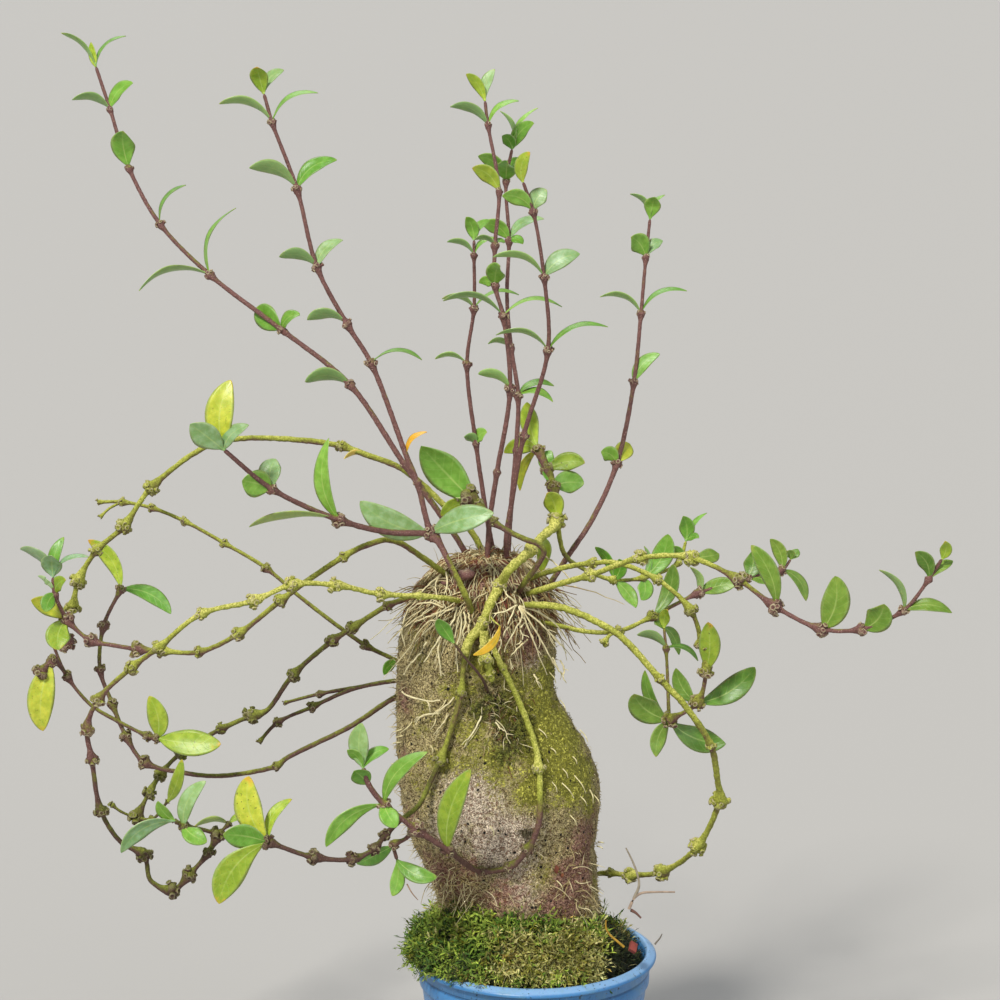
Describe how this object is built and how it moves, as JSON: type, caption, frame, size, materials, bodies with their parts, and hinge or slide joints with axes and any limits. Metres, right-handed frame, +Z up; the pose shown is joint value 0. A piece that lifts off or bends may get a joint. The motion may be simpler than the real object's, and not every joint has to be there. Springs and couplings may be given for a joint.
{
  "type": "potted ant plant",
  "caption": "Caudex plant with a tall swollen base, a tuft of roots and jointed leafy stems, standing in moss in a round plastic nursery pot.",
  "frame": {"origin": "centre of the underside of the pot", "axes": "+Z up, +X to the right of the front view, +Y away from the viewer"},
  "size_m": [0.436, 0.2459, 0.553],
  "materials": {
    "pot_plastic": "satin blue",
    "bark_soil": "dark bark and soil",
    "moss": "living moss",
    "caudex_bark": "grey-brown corky skin with green algae",
    "brown_stem": "reddish brown bark with mid-green leaves",
    "green_stem": "bark under yellow-green algae, with green leaves"
  },
  "bodies": {
    "root": {"pot": "pot_plastic", "soil": "bark_soil", "moss": "moss", "swollen_base": "caudex_bark", "stem_long_left": "brown_stem", "stem_tall_left": "brown_stem", "stem_old_spike": "green_stem", "stem_centre_left": "brown_stem", "stem_centre_tall": "brown_stem", "stem_centre_back": "brown_stem", "stem_centre_right": "brown_stem", "stem_right_tall": "brown_stem", "stem_right_reach": "green_stem", "stem_right_arch": "green_stem", "stem_right_loop": "green_stem", "stem_right_back": "green_stem", "stem_front_thick": "green_stem", "stem_front_left": "green_stem", "stem_front_curl": "green_stem", "stem_front_twig": "brown_stem", "stem_left_arch": "green_stem", "stem_left_thin": "green_stem", "stem_left_low": "green_stem", "stem_left_mid": "green_stem", "stem_left_inner": "green_stem", "stem_left_pair": "green_stem", "stem_left_under": "green_stem"}
  },
  "joints": []
}
